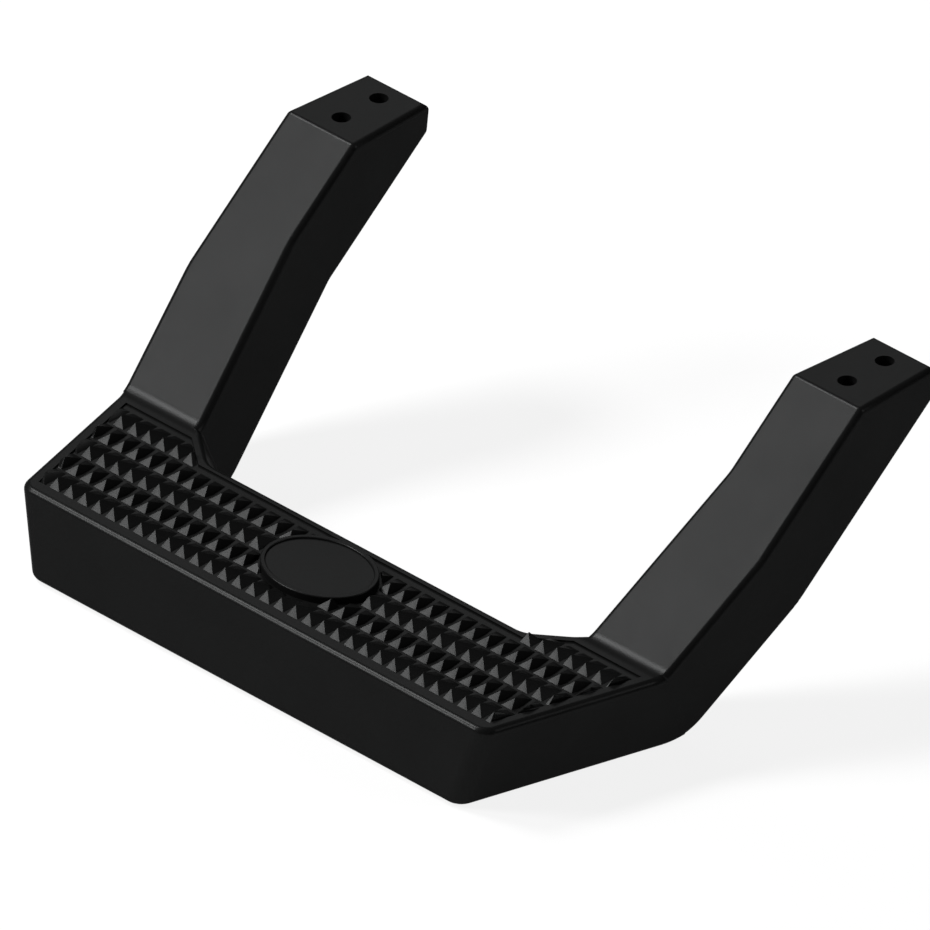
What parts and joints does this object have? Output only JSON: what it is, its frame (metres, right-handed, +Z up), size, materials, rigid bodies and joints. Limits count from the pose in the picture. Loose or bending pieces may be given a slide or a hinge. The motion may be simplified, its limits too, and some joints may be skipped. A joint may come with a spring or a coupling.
{
  "type": "truck step",
  "caption": "Cast hoop step for a pickup truck: wide tread with a saw-tooth grip pattern and an oval pad, carried on sloping arms that end in bolted mounting feet.",
  "frame": {"origin": "centre of the four bolt holes, level with the flat tops of the two mounting feet", "axes": "+X along the tread, +Y from the tread back towards the mounting feet and the vehicle, +Z up"},
  "size_m": [0.437, 0.317, 0.1716],
  "materials": {
    "black_coat": "satin black powder coat on cast aluminium"
  },
  "bodies": {
    "root": {"hoop_step": "black_coat"}
  },
  "joints": []
}
